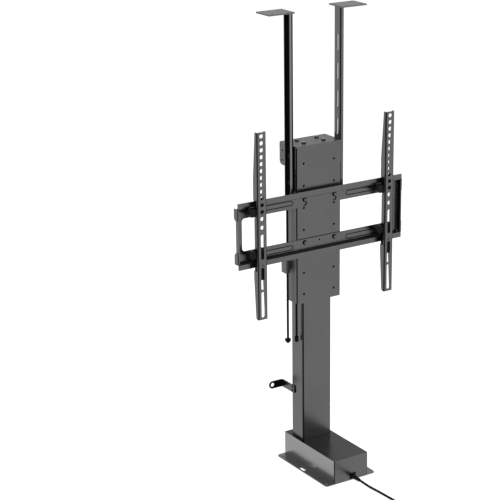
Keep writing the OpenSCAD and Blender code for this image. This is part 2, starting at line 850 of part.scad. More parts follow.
module carriage_channel() {
    low = plate_top - plate_len;
    color("gray") difference() {
        translate([0, 0, low]) linear_extrude(plate_len) difference() {
            union() {
                translate([-side_x + channel_corner, web_front])
                    square([plate_w - 2 * channel_corner, channel_d]);
                translate([-side_x, web_front + channel_corner])
                    square([plate_w, channel_d - channel_corner]);
                for (s = [-1, 1])
                    translate([s * (side_x - channel_corner), web_front + channel_corner])
                        circle(channel_corner);
            }
            translate([-side_x + channel_t, web_back])
                square([plate_w - 2 * channel_t, channel_d]);
        }
        for (s = [-1, 1]) {
            for (z = post_bolt_z)
                bar_x(post_mid, z, bolt_dia / 2 + bolt_fit, s * side_x - 5, s * side_x + 5);
            for (z = frame_bolt_heights())
                bar_y(s * frame_bolt_x / 2, z, frame_bolt_dia / 2 + bolt_fit,
                    web_front - 1, web_back + 1);
        }
        plate_holes(web_front - 1, web_back + 1);
        bar_x(channel_back - 4, (block_z[0] + block_z[1]) / 2, 2.2, -side_x - 5, -side_x + 5);
    }
}

// Pads that steady the carriage on the column's front
module carriage_glides() {
    pad_h = 30;
    low = plate_top - plate_len + 8;
    color("white") for (s = [-1, 1])
        span([s * 24 - 8, web_back, low], [s * 24 + 8, -outer_d / 2 - slide_fit, low + pad_h]);
}

// Drill for the two columns of holes and the hole between the lower frame bolts
module plate_holes(y0, y1) {
    for (s = [-1, 1], i = [0 : grid_rows - 1])
        bar_y(s * grid_x / 2, cap_z - grid_top - i * grid_z, grid_hole_dia / 2, y0, y1);
    bar_y(0, frame_z - frame_bolt_down, centre_hole_dia / 2, y0, y1);
}

function frame_bolt_heights() = [frame_z + frame_bolt_up, frame_z - frame_bolt_down];

module front_plate() {
    low = plate_top - plate_len;
    color("gray") difference() {
        translate([0, 0, low + plate_len / 2]) sheet_y(plate_front, web_front)
            round_rect(plate_w, plate_len, 2);
        plate_holes(plate_front - 1, web_front + 1);
        for (s = [-1, 1], z = frame_bolt_heights())
            bar_y(s * frame_bolt_x / 2, z, frame_bolt_dia / 2 + bolt_fit,
                plate_front - 1, web_front + 1);
    }
}

// Flange and lip of the frame's upper edge, in the Y-Z plane about the frame's middle
module lip_section() {
    lip_y = lip_front + frame_t + fold_r;
    fold_z = frame_h / 2 + frame_t + fold_r;
    translate([lip_y, frame_h / 2]) square([lip_reach - frame_t - 2 * fold_r, frame_t]);
    translate([lip_y, fold_z]) rotate(180) bend_shape(fold_r, frame_t);
    translate([lip_front, fold_z]) square([frame_t, lip_h - frame_t - fold_r]);
}

// Upper half of the frame's whole section, in the same plane
module frame_section() {
    flat = frame_h / 2 - fold_r;
    translate([frame_front, 0]) square([frame_t, flat]);
    translate([frame_front - fold_r, flat]) bend_shape(fold_r, frame_t);
    lip_section();
}

// Flat cuts in the frame's plate, in the X-Z plane about the frame's middle
module frame_cuts() {
    round_rect(2 * window_x, window_h, window_corner);
    for (s = [-1, 1]) {
        translate([s * frame_bolt_x / 2, frame_bolt_up - key_drop])
            circle(frame_head_dia / 2 + 3 * bolt_fit);
        translate([s * frame_bolt_x / 2, frame_bolt_up - key_drop / 2])
            slot_shape(key_drop + frame_bolt_dia, frame_bolt_dia + 2 * bolt_fit);
        translate([s * frame_bolt_x / 2, -frame_bolt_down])
            circle(frame_bolt_dia / 2 + bolt_fit);
    }
    translate([0, -frame_bolt_down]) circle(centre_hole_dia / 2);
}

module tv_frame() {
    color("gray") translate([0, 0, frame_z]) difference() {
        union() {
            sheet_x(-end_in, end_in) union() {
                frame_section();
                mirror([0, 1]) frame_section();
            }
            for (s = [-1, 1]) mirror([s < 0 ? 1 : 0, 0, 0]) frame_end();
        }
        sheet_y(frame_front - 1, plate_front + 1) frame_cuts();
        for (s = [-1, 1], u = [-1, 1])
            sheet_y(frame_front - 1, frame_front + groove_depth)
                translate([s * (groove_in + groove_out) / 2, u * groove_z]) rotate(90) groove_ring();
    }
}

// Line pressed round a groove, flat, along Y
module groove_ring() {
    difference() {
        slot_shape(groove_out - groove_in, groove_w);
        slot_shape(groove_out - groove_in - 2 * groove_line, groove_w - 2 * groove_line);
    }
}

// Right-hand end of the frame: its end flange, the ends of the two lips and their ears
module frame_end() {
    sheet_x(end_in, end_x) union() {
        lip_section();
        mirror([0, 1]) lip_section();
    }
    sheet_x(end_x, end_x + frame_t) for (u = [0, 1]) mirror([0, u]) frame_ear();
    linear_extrude(frame_h, center = true) {
        translate([end_in, frame_front - fold_r]) bend_shape(fold_r, frame_t);
        translate([end_x - frame_t, lip_front])
            square([frame_t, lip_reach - fold_r]);
    }
}

// Tab that closes the end of the upper rail, in the Y-Z plane about the frame's middle
module frame_ear() {
    ear_top = frame_h / 2 + frame_t;
    polygon([[lip_front + 2, ear_low], [plate_front - ear_cut, ear_low],
        [plate_front, ear_low + ear_cut], [plate_front, ear_top], [lip_front + 2, ear_top]]);
}

// Each bolt has a washer, and a head a little smaller than it
module frame_bolts() {
    washer_t = 0.8;
    head_h = 2.4;
    color("gray") for (s = [-1, 1], z = frame_bolt_heights()) {
        bar_y(s * frame_bolt_x / 2, z, frame_bolt_dia / 2, frame_front - 1, web_back - 0.2);
        bar_y(s * frame_bolt_x / 2, z, frame_head_dia / 2, frame_front - washer_t, frame_front);
        bar_y(s * frame_bolt_x / 2, z, frame_head_dia / 2 - frame_washer_rim,
            frame_front - washer_t - head_h, frame_front - washer_t);
    }
}

// Bolts that hold the lid posts through their slots
module post_bolts() {
    head_x = post_web + post_t + slide_fit;
    color("black") for (s = [-1, 1], z = post_bolt_z) mirror([s < 0 ? 1 : 0, 0, 0]) {
        bar_x(post_mid, z, bolt_dia / 2, side_x - channel_t, head_x);
        bar_x(post_mid, z, 5.5, head_x, head_x + 3.2);
    }
}

// Block that guides the rod, held off the carriage's left side
module guide_block() {
    low = block_z[0];
    high = block_z[1];
    color("black") difference() {
        union() {
            span([-rod_x - 7, rod_y - 4.2, low], [-rod_x + 4, rod_y + guide_back, high]);
            span([-rod_x + 4, channel_back - 7.5, low + 7], [-side_x, channel_back - 0.5, high - 7]);
        }
        translate([-rod_x, rod_y, low - 1])
            cylinder(d = rod_dia + 2 * run_fit, h = high - low + 2);
    }
}

// Rod with a round end that hangs inside the carriage's left flange
module trip_rod() {
    color("black") translate([-trip_x, trip_y, 0]) {
        translate([0, 0, rod_foot + 6]) cylinder(d = rod_dia, h = trip_top - rod_foot - 6);
        translate([0, 0, rod_foot + 4.5]) sphere(4.5);
        translate([0, 0, rod_foot + 4.5]) cylinder(r = 4.5, h = 9);
    }
}

module trip_rod_clips() {
    color("black") for (z = clip_z) difference() {
        span([-side_x + channel_t, trip_y - clip_half, z],
            [-trip_x + clip_half - 1, trip_y + clip_half, z + clip_h]);
        translate([-trip_x, trip_y, z - 1]) cylinder(d = rod_dia + 2 * run_fit, h = clip_h + 2);
    }
}

// Lid posts

// Outline of a post, in the X-Y plane from its outer corner, drawn in by an inset
module post_outline(inset, r) {
    depth = post_d - 2 * inset;
    translate([inset + r, inset]) square([post_flange - r, depth]);
    translate([inset, inset + r]) square([post_flange, depth - 2 * r]);
    for (y = [inset + r, post_d - inset - r]) translate([inset + r, y]) circle(r);
}

module lid_post(side) {
    color("dimgray") mirror([side < 0 ? 1 : 0, 0, 0]) difference() {
        translate([post_web, post_front, post_foot]) linear_extrude(post_len) difference() {
            post_outline(0, post_bend);
            post_outline(post_t, post_bend - post_t);
        }
        for (i = [0 : post_slots - 1])
            translate([0, post_mid, post_slot_z + i * post_slot_pitch])
                sheet_x(post_web - 1, post_web + post_t + 1) slot_shape(post_slot_len, post_slot_w);
        bar_x(post_mid, post_top - 30, 2.2, post_web - 1, post_web + post_t + 1);
    }
}

module lid_pad(side) {
    color("darkgray") mirror([side < 0 ? 1 : 0, 0, 0]) difference() {
        translate([post_web + pad_w / 2, pad_mid, post_top]) linear_extrude(pad_t)
            round_rect(pad_w, pad_d, 1.5);
        for (x = [0, pad_hole_spacing], y = [-1, 1])
            translate([post_web + pad_hole_in + x, pad_mid + y * pad_hole_spacing / 2, post_top - 1])
                cylinder(d = pad_hole_dia, h = pad_t + 2);
    }
}

module lid_post_left() { lid_post(-1); }
module lid_post_right() { lid_post(1); }
module lid_pad_left() { lid_pad(-1); }
module lid_pad_right() { lid_pad(1); }

// Rod that hangs from the left post's foot, with a pointed stop at its end
module guide_rod() {
    color("black") {
        translate([-rod_x, rod_y, rod_foot + 8]) cylinder(d = rod_dia, h = post_foot - rod_foot);
        span([-post_web - post_flange + 0.2, post_front + post_t + 8, post_foot + 1],
            [-post_web - post_bend, post_front + post_d - post_t, post_foot + 8]);
        translate([-rod_x, rod_y, rod_foot]) {
            cylinder(r1 = 1.5, r2 = 6.8, h = 6);
            translate([0, 0, 6]) cylinder(r = 6.8, h = 4.5);
        }
    }
}

// Arms

// Section of an arm in the X-Y plane, drawn in by an inset
module arm_outline(inset, r) {
    half = arm_w / 2 - inset;
    translate([-half, inset + r]) square([2 * half, arm_d]);
    translate([-half + r, inset]) square([2 * (half - r), arm_d]);
    for (s = [-1, 1]) translate([s * (half - r), inset + r]) circle(r);
}

// Side outline of an arm's flanges, in the Y-Z plane
module arm_side() {
    tip = 8.5;
    polygon([[arm_front, arm_low], [arm_front + 7, arm_low], [arm_front + 10, arm_low + 3],
        [arm_back, arm_low + arm_taper_low], [arm_back, lower_cut[0]], [waist_back, lower_cut[0]],
        [waist_back, upper_cut[1]], [arm_back, upper_cut[1]],
        [arm_back, arm_high - arm_taper_top], [arm_front + tip, arm_high - 6],
        [arm_front + tip, arm_high], [arm_front, arm_high]]);
}

// Holes and slots in an arm's face, in the X-Z plane
module arm_cuts() {
    for (i = [0 : arm_holes - 1])
        translate([0, arm_high - arm_first - i * arm_pitch]) circle(arm_hole_dia / 2);
    for (d = arm_lone_holes) translate([0, arm_high - d]) circle(arm_hole_dia / 2);
    for (slot = arm_slots) translate([0, arm_high - slot[0]]) slot_shape(slot[1], arm_hole_dia - 1);
    translate([0, arm_high - arm_pin]) circle(1.6);
}

module arm() {
    color("gray") difference() {
        intersection() {
            translate([0, arm_front, arm_low]) linear_extrude(arm_len) difference() {
                arm_outline(0, arm_bend);
                arm_outline(arm_t, arm_bend - arm_t);
            }
            sheet_x(-arm_w, arm_w) arm_side();
        }
        for (c = [upper_cut, lower_cut])
            span([-arm_w, cut_front, c[0]], [arm_w, 0, c[1]]);
        sheet_y(arm_front - 1, clamp_web + 1) arm_cuts();
    }
}

// Side plate of a clamp from z0 to z1, reaching back to y1
module clamp_cheek(side, z0, z1, y1) {
    x = side * (clamp_half - clamp_t / 2);
    span([x - clamp_t / 2, clamp_web, z0], [x + clamp_t / 2, y1, z1]);
}

// Black bracket inside an arm: it hooks over the frame's upper lip and carries two knobs
module clamp() {
    lip_top = rail_top + lip_h;
    hook_z = lip_top + slide_fit;
    hook_y = lip_front + frame_t + 0.5;
    color("black") {
        for (side = [-1, 1]) {
            clamp_cheek(side, clamp_low, lower_cut[1], ear_back);
            clamp_cheek(side, upper_cut[0], clamp_high, ear_back);
        }
        clamp_cheek(-1, lower_cut[1] - 1, upper_cut[0] + 1, waist_back - 1);
        difference() {
            span([-clamp_half, clamp_web, clamp_low],
                [clamp_half, clamp_web + clamp_t, lower_cut[1]]);
            bar_y(0, clamp_pin_z, 2.5, clamp_web - 1, clamp_web + clamp_t + 1);
        }
        span([-clamp_half, clamp_web, clamp_face_low],
            [clamp_half, clamp_web + clamp_t, clamp_high]);
        span([-5, clamp_web, hook_z], [5, hook_y + 3, hook_z + 3.5]);
        span([-5, hook_y, hook_z - 9], [5, hook_y + 3, hook_z + eps]);
        span([-5, clamp_web, clamp_pin_z - 4], [5, lip_front - slide_fit, clamp_pin_z + 2]);
        for (z = [knob_top_z, knob_bottom_z]) difference() {
            union() {
                span([-knob_x, ear_front, z - knob_dia / 2 + 0.5],
                    [-clamp_half + clamp_t, ear_back, z + knob_dia / 2 - 0.5]);
                bar_y(-knob_x, z, knob_dia / 2 - 0.5, ear_front, ear_back);
            }
            bar_y(-knob_x, z, bolt_dia / 2 + run_fit, ear_front - 1, ear_back + 1);
        }
    }
}

module knob(z) {
    grips = 8;
    color("black") {
        difference() {
            bar_y(-knob_x, z, knob_dia / 2, knob_back - knob_h, knob_back);
            for (i = [0 : grips - 1]) rotate_about_knob(z, i * 360 / grips)
                bar_y(-knob_x + knob_dia / 2 + 1, z, 2, knob_back - knob_h - 1, knob_back - 3);
        }
        bar_y(-knob_x, z, bolt_dia / 2, knob_back - 1, frame_front - slide_fit);
    }
}

module rotate_about_knob(z, angle) {
    translate([-knob_x, 0, z]) rotate([0, angle, 0]) translate([knob_x, 0, -z]) children();
}

module arm_left() { translate([-arm_x, 0, 0]) arm(); }
module arm_right() { translate([arm_x, 0, 0]) arm(); }
module clamp_left() { translate([-arm_x, 0, 0]) clamp(); }
module clamp_right() { translate([arm_x, 0, 0]) clamp(); }
module knob_left_top() { translate([-arm_x, 0, 0]) knob(knob_top_z); }
module knob_left_bottom() { translate([-arm_x, 0, 0]) knob(knob_bottom_z); }
module knob_right_top() { translate([arm_x, 0, 0]) knob(knob_top_z); }
module knob_right_bottom() { translate([arm_x, 0, 0]) knob(knob_bottom_z); }

// Power cord

// Tapered strain relief in the notch of the base cover
module cord_gland() {
    color("black") {
        span([gland_x - 7.5, -base_front - 2, floor_t + 0.2],
            [gland_x + 7.5, -base_front + cover_t + 4, gland_z + 8]);
        translate([gland_x, -base_front - 2, gland_z]) rotate([90, 0, 0])
            cylinder(r1 = 5.2, r2 = cord_dia / 2 + 0.9, h = relief_len - 2);
    }
}

function unit(v) = v / norm(v);

// Points on a smooth curve through the given points, a few to each stretch
function smooth_points(p, steps) = [
    for (i = [0 : len(p) - 2], k = [0 : steps - 1])
        let (t = k / steps, a = p[max(i - 1, 0)], b = p[i], c = p[i + 1],
            d = p[min(i + 2, len(p) - 1)])
        (2 * b + (c - a) * t + (2 * a - 5 * b + 4 * c - d) * t * t
            + (3 * b - a - 3 * c + d) * t * t * t) / 2,
    p[len(p) - 1]];

// A closed tube along points that never run upright
module tube_along(points, r, sides) {
    last = len(points) - 1;
    rings = [for (i = [0 : last])
        let (t = unit(points[min(i + 1, last)] - points[max(i - 1, 0)]),
            n = unit(cross([0, 0, 1], t)), b = cross(t, n))
        for (k = [0 : sides - 1])
            points[i] + r * (cos(360 * (k + 0.5) / sides) * n + sin(360 * (k + 0.5) / sides) * b)];
    walls = [for (i = [0 : last - 1], k = [0 : sides - 1])
        let (a = i * sides + k, b = i * sides + (k + 1) % sides)
        each [[a, a + sides, b + sides], [a, b + sides, b]]];
    ends = [for (k = [1 : sides - 2])
        each [[0, k, k + 1], [last * sides, last * sides + k + 1, last * sides + k]]];
    polyhedron(points = rings, faces = concat(walls, ends), convexity = 8);
}

module power_cord_run() {
    color("black") tube_along(smooth_points(run_points, 2), cord_dia / 2, 8);
}

// Coil: it spirals in and out in turn, and climbs a layer in the half turn where it reverses
coil_period = coil_turns + 0.5;
coil_end = 4 * coil_turns + 1.5;
function ease(t) = (1 - cos(180 * t)) / 2;
function coil_point(s) = let (k = floor(s / coil_period), f = s - k * coil_period,
    wound = min(f, 2 * coil_turns + 0.5 - f), climb = max(f - coil_turns, 0) / 0.5,
    r = coil_r - coil_pitch * (k % 2 == 0 ? wound : coil_turns - wound))
    [coil_mid[0] + r * cos(-360 * s), coil_mid[1] + r * sin(-360 * s),
        cord_z + coil_layer * (k + ease(climb))];
tail_top = cord_z + 3 * coil_layer;
tail_y = coil_mid[1] - coil_r;
tail_x = coil_mid[0] - tail_len;
coil_path = concat(
    [[coil_mid[0] + coil_r, run_end, cord_z]],
    [for (s = [0 : 1 / 24 : coil_end - 1 / 48]) coil_point(s)],
    [for (t = [0 : 1 / 8 : 1.001]) [coil_mid[0] - tail_len * t, tail_y,
        tail_top + (plug_z - tail_top) * ease(max(t - 0.3, 0) / 0.7)]],
    [[tail_x - cord_dia, tail_y, plug_z]]);
// Least space between stretches of the coil that are more than a quarter turn apart
coil_gap = min([for (i = [0 : len(coil_path) - 8], j = [i + 7 : len(coil_path) - 1])
    norm(coil_path[i] - coil_path[j])]) - cord_dia;
echo(coil_gap = coil_gap);

module power_cord_coil() {
    color("black") tube_along(coil_path, cord_dia / 2, 6);
}

module power_plug() {
    x0 = tail_x - cord_dia;
    body_x = x0 - 18;
    body_len = 28;
    color("black") {
        translate([x0, tail_y, plug_z]) rotate([0, -90, 0])
            cylinder(r1 = cord_dia / 2 + 0.6, r2 = 6, h = 18);
        translate([body_x - body_len, tail_y, plug_z]) rotate([0, 90, 0])
            linear_extrude(body_len) round_rect(2 * plug_z, 24, 4);
    }
    color("silver") for (s = [-1, 1])
        span([body_x - body_len - 17, tail_y + s * 6.35 - 0.75, plug_z - 3.2],
            [body_x - body_len + 1, tail_y + s * 6.35 + 0.75, plug_z + 3.2]);
}

floor_plate();
base_cover();
cover_screws();
gearbox_housing();
gearbox_lid();
spindle_bearing();
motor_body();
motor_shaft();
worm_wheel();
control_board();
board_parts();
cord_gland();
power_cord_run();
power_cord_coil();
power_plug();
outer_tube();
column_foot();
foot_screws();
outer_glides();
wall_strap_left();
wall_strap_right();
strap_screws();
lift_spindle();
middle_tube();
middle_block();
middle_nut();
middle_glides();
upper_spindle();
inner_tube();
inner_block();
inner_nut();
inner_glides();
head_plate();
cap_bracket();
cap_bolts();
carriage_channel();
carriage_glides();
front_plate();
tv_frame();
frame_bolts();
post_bolts();
guide_block();
trip_rod();
trip_rod_clips();
lid_post_left();
lid_post_right();
lid_pad_left();
lid_pad_right();
guide_rod();
arm_left();
arm_right();
clamp_left();
clamp_right();
knob_left_top();
knob_left_bottom();
knob_right_top();
knob_right_bottom();
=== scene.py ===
"""Looks for the motorised screen lift: camera, light, cord, painted sheet steel and fittings."""

import json
import math

import bmesh
import bpy
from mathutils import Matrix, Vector

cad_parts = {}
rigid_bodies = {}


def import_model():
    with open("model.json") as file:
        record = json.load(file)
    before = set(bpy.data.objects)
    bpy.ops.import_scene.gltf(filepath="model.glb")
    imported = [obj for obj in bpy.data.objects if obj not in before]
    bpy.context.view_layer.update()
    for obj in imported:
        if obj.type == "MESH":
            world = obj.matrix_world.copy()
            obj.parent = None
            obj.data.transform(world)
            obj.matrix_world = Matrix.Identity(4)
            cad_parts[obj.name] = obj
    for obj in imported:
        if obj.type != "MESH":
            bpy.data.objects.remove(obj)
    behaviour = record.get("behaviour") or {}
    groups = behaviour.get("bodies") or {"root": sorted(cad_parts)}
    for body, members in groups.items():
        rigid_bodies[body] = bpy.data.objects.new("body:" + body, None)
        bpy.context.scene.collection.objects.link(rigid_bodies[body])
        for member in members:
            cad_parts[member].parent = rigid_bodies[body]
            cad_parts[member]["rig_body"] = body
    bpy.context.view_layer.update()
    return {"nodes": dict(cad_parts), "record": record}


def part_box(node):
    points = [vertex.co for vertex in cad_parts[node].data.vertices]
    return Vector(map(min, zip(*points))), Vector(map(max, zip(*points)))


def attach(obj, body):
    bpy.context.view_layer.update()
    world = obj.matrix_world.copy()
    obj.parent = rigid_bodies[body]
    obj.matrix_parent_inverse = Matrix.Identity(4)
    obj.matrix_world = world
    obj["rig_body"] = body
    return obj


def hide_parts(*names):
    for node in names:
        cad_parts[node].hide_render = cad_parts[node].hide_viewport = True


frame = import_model()
nodes = frame["nodes"]
MM = 0.001


# Camera, as fitted to the photograph

SENSOR_WIDTH = 36
LENS = 120.43
LENS_SHIFT = (-0.138, 0.0785)
VIEW_END = 60
CAMERA_PLACE = (-1.9951, -2.9494, 1.6579)
CAMERA_LOOK = (0.5327, 0.7791, -0.3305)


def make_camera():
    data = bpy.data.cameras.new("camera")
    data.sensor_width = SENSOR_WIDTH
    data.lens = LENS
    data.shift_x, data.shift_y = LENS_SHIFT
    data.clip_end = VIEW_END
    camera = bpy.data.objects.new("camera", data)
    bpy.context.scene.collection.objects.link(camera)
    camera.location = CAMERA_PLACE
    camera.rotation_euler = Vector(CAMERA_LOOK).to_track_quat("-Z", "Y").to_euler()
    bpy.context.scene.camera = camera


make_camera()


# Node helpers

class Graph:
    """Short calls for building a node tree."""

    def __init__(self, tree):
        self.tree = tree
        tree.nodes.clear()

    def add(self, kind, **values):
        made = self.tree.nodes.new(kind)
        for key, value in values.items():
            if key in made.inputs:
                made.inputs[key].default_value = value
            else:
                setattr(made, key, value)
        return made

    def link(self, source, target):
        self.tree.links.new(source, target)

    def math(self, operation, *values, clamp=False):
        made = self.add("ShaderNodeMath", operation=operation, use_clamp=clamp)
        for value, socket in zip(values, made.inputs):
            if isinstance(value, (int, float)):
                socket.default_value = value
            else:
                self.link(value, socket)
        return made.outputs[0]

    def ramp(self, source, stops):
        """A blend between two colours; each stop is a place and its colour."""
        made = self.add("ShaderNodeValToRGB")
        for element, (place, colour) in zip(made.color_ramp.elements, stops):
            element.position = place
            element.color = (*colour, 1)
        self.link(source, made.inputs[0])
        return made.outputs[0]

    def noise(self, vector, scale, detail=2.0):
        made = self.add("ShaderNodeTexNoise", Scale=scale, Detail=detail)
        self.link(vector, made.inputs["Vector"])
        return made.outputs["Fac"]

    def finish(self, shader, output="ShaderNodeOutputMaterial"):
        self.link(shader.outputs[0], self.add(output).inputs[0])


def new_material(name):
    material = bpy.data.materials.new(name)
    material.use_nodes = True
    return material, Graph(material.node_tree)


DRIFT_SCALE = 9.0
DRIFT_DETAIL = 3.0
DRIFT_LOW, DRIFT_HIGH = 0.3, 0.7
GLOSS_DRIFT = 0.10
GRAIN_BUMP = 0.5


def surface(name, low, high, rough, metallic=0.0, specular=0.5, grain=900.0,
            grain_depth=0.02 * MM, stretch=(1, 1, 1), fine=0.0, edge=1.0):
    """A surface with slow colour drift, a fine grain in its bump and an uneven gloss.

    The colour drifts from low to high, and fine is how far the grain changes the gloss.
    A metal's edge value below 1 keeps it darker where it is seen at a low angle."""
    material, graph = new_material(name)
    place = graph.add("ShaderNodeTexCoord").outputs["Object"]
    scaled = graph.add("ShaderNodeMapping", Scale=stretch)
    graph.link(place, scaled.inputs["Vector"])
    drift = graph.noise(place, DRIFT_SCALE, DRIFT_DETAIL)
    grain_fac = graph.noise(scaled.outputs[0], grain)
    shader = graph.add("ShaderNodeBsdfPrincipled")
    shader.inputs["Metallic"].default_value = metallic
    shader.inputs["Specular IOR Level"].default_value = specular
    shader.inputs["Specular Tint"].default_value = (edge, edge, edge, 1)
    colour = graph.ramp(drift, [(DRIFT_LOW, low), (DRIFT_HIGH, high)])
    graph.link(colour, shader.inputs["Base Color"])
    gloss = graph.math("MULTIPLY_ADD", drift, GLOSS_DRIFT, rough - GLOSS_DRIFT / 2)
    if fine:
        spread = graph.math("MULTIPLY", grain_fac, fine)
        gloss = graph.math("ADD", gloss, spread)
    graph.link(gloss, shader.inputs["Roughness"])
    bump = graph.add("ShaderNodeBump", Strength=GRAIN_BUMP, Distance=grain_depth)
    graph.link(grain_fac, bump.inputs["Height"])
    graph.link(bump.outputs[0], shader.inputs["Normal"])
    graph.finish(shader)
    return material


GREY = surface("grey_paint", (0.122, 0.122, 0.124), (0.134, 0.134, 0.136), 0.27, metallic=1.0)
# Near-black paint for painted shade: along upright bends, in the frame's grooves and on its lower
# shelf
DARK_SHADE = surface("painted_dark_shade", (0.006, 0.006, 0.006), (0.009, 0.009, 0.009), 0.50, specular=0.08)
# Deepest black paint for painted shade round bolt heads, in holes, gaps, keyholes and the posts'
# open insides, and on the straps' fronts
DEEP_SHADE = surface("painted_deep_shade", (0.002, 0.002, 0.002), (0.003, 0.003, 0.003), 0.55,
               specular=0.03)
# A lighter grey for painted light on the base cover's sides
COVER_SIDE_LIGHT = surface("cover_side_painted_light", (0.27, 0.27, 0.272), (0.30, 0.30, 0.302), 0.27,
                     metallic=1.0)
# A lighter, duller grey for painted light on the carriage channel's flat sides
CHANNEL_SIDE_LIGHT = surface("channel_side_painted_light", (0.172, 0.172, 0.174), (0.184, 0.184, 0.186), 0.60,
                       metallic=1.0)
# A darker grey with darker edges for painted shade on the base cover's top
TOP_SHADE = surface("top_painted_shade", (0.100, 0.100, 0.102), (0.112, 0.112, 0.114), 0.24, metallic=1.0,
              edge=0.40)
# A slightly darker grey for painted shade on the tops of the cap bracket and lid pads
HIGH_TOP_SHADE = surface("high_top_painted_shade", (0.118, 0.118, 0.120), (0.128, 0.128, 0.130), 0.27,
                   metallic=1.0, edge=0.68)
BLACK = surface("black_paint", (0.002, 0.002, 0.002), (0.004, 0.004, 0.004), 0.42, specular=0.05)
BLACK_PLASTIC = surface("black_plastic", (0.004, 0.004, 0.004), (0.008, 0.008, 0.008), 0.38,
                        specular=0.10, grain=1400)
STEEL = surface("steel", (0.50, 0.50, 0.50), (0.62, 0.62, 0.62), 0.30, metallic=1.0,
                grain=500, stretch=(1, 1, 0.05), fine=0.08)
ALUMINIUM = surface("aluminium", (0.62, 0.62, 0.63), (0.70, 0.70, 0.71), 0.35, metallic=1.0,
                    grain=500, stretch=(0.05, 1, 1), fine=0.08)
CASTING = surface("cast_housing", (0.22, 0.22, 0.23), (0.30, 0.30, 0.31), 0.55, metallic=0.7,
                  grain=400, grain_depth=0.1 * MM)
BRONZE = surface("bronze", (0.52, 0.34, 0.12), (0.62, 0.42, 0.18), 0.32, metallic=1.0, fine=0.1)
WHITE_PLASTIC = surface("white_plastic", (0.72, 0.72, 0.70), (0.80, 0.80, 0.78), 0.42)
BOARD = surface("board_plastic", (0.02, 0.12, 0.04), (0.03, 0.18, 0.06), 0.35, grain=1500)
RUBBER = surface("cord_rubber", (0.008, 0.008, 0.008), (0.014, 0.014, 0.014), 0.50,
                 specular=0.08, grain=1800)
BLADE = surface("plug_blade", (0.70, 0.69, 0.66), (0.78, 0.77, 0.74), 0.25, metallic=1.0, fine=0.06)

# Front flange of a lid post: painted shade beside the post's open side, a painted highlight along
# its outer edge
FLANGE_BLEND = 0.4 * MM
FLANGE_HIGHLIGHT_WIDTH = 4.0 * MM
FLANGE_EDGE = 0.5
FLANGE_ROUGH = 0.3
FLANGE_SHADE_TONE, FLANGE_HIGHLIGHT_TONE = (0.004, 0.004, 0.004), (0.20, 0.20, 0.202)


def flange_shade_and_highlight(name, split):
    """Metal paint with painted shade up to a distance from the part's middle, and a painted
    highlight beyond it.
    """
    material, graph = new_material(name)
    place = graph.add("ShaderNodeTexCoord").outputs["Object"]
    axes = graph.add("ShaderNodeSeparateXYZ")
    graph.link(place, axes.inputs[0])
    out_from_middle = graph.math("ABSOLUTE", axes.outputs["X"])
    beyond = graph.math("SUBTRACT", out_from_middle, split)
    blend = graph.math("MULTIPLY_ADD", beyond, 1 / FLANGE_BLEND, 0.5, clamp=True)
    shader = graph.add("ShaderNodeBsdfPrincipled")
    shader.inputs["Metallic"].default_value = 1.0
    shader.inputs["Specular Tint"].default_value = (FLANGE_EDGE, FLANGE_EDGE, FLANGE_EDGE, 1)
    shader.inputs["Roughness"].default_value = FLANGE_ROUGH
    colour = graph.ramp(blend, [(0.0, FLANGE_SHADE_TONE), (1.0, FLANGE_HIGHLIGHT_TONE)])
    graph.link(colour, shader.inputs["Base Color"])
    graph.finish(shader)
    return material


FLANGE_SHADE_AND_HIGHLIGHT = flange_shade_and_highlight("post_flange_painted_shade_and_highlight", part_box("lid_post_right")[1].x - FLANGE_HIGHLIGHT_WIDTH)

SLOT_MATERIALS = {
    "grey_paint": GREY, "black_paint": BLACK, "steel": STEEL, "aluminium": ALUMINIUM,
    "cast_housing": CASTING, "bronze": BRONZE, "white_plastic": WHITE_PLASTIC,
    "black_plastic": BLACK_PLASTIC, "board_plastic": BOARD, "cord_rubber": RUBBER}
SLOT_OF = {s["node"]: s["material_slot"] for s in frame["record"]["subparts"]}


# Mesh helpers

BEVEL_ANGLE = math.radians(35)
MERGE_DISTANCE = 0.001 * MM
FLAT_ANGLE = math.radians(0.5)
RING_SIDES = 32


def mesh_object(name, bm, material, body):
    mesh = bpy.data.meshes.new(name)
    bm.normal_update()
    bm.to_mesh(mesh)
    bm.free()
    mesh.materials.append(material)
    for polygon in mesh.polygons:
        polygon.use_smooth = True
    made = bpy.data.objects.new(name, mesh)
    bpy.context.scene.collection.objects.link(made)
    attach(made, body)
    return made


def apply_modifiers(made):
    bpy.context.view_layer.update()
    graph = bpy.context.evaluated_depsgraph_get()
    mesh = bpy.data.meshes.new_from_object(made.evaluated_get(graph))
    made.modifiers.clear()
    made.data = mesh


def round_edges(made, width, segments=2):
    bevel = made.modifiers.new("bevel", "BEVEL")
    bevel.width = width
    bevel.segments = segments
    bevel.limit_method = "ANGLE"
    bevel.angle_limit = BEVEL_ANGLE
    bevel.use_clamp_overlap = True
    normals = made.modifiers.new("normals", "WEIGHTED_NORMAL")
    normals.keep_sharp = True
    apply_modifiers(made)


def dressed(node, width):
    """A copy of a CAD node with its sheet edges broken, as a press and paint leave them."""
    source = nodes[node]
    bm = bmesh.new()
    bm.from_mesh(source.data)
    bmesh.ops.remove_doubles(bm, verts=bm.verts, dist=MERGE_DISTANCE)
    bmesh.ops.dissolve_limit(bm, angle_limit=FLAT_ANGLE, verts=bm.verts, edges=bm.edges)
    slot = SLOT_OF[node]
    made = mesh_object(node + "_skin", bm, SLOT_MATERIALS[slot], source["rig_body"])
    round_edges(made, width)
    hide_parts(node)
    return made


def paint_cad_nodes():
    for name, piece in nodes.items():
        piece.data.materials.clear()
        piece.data.materials.append(SLOT_MATERIALS[SLOT_OF[name]])


paint_cad_nodes()


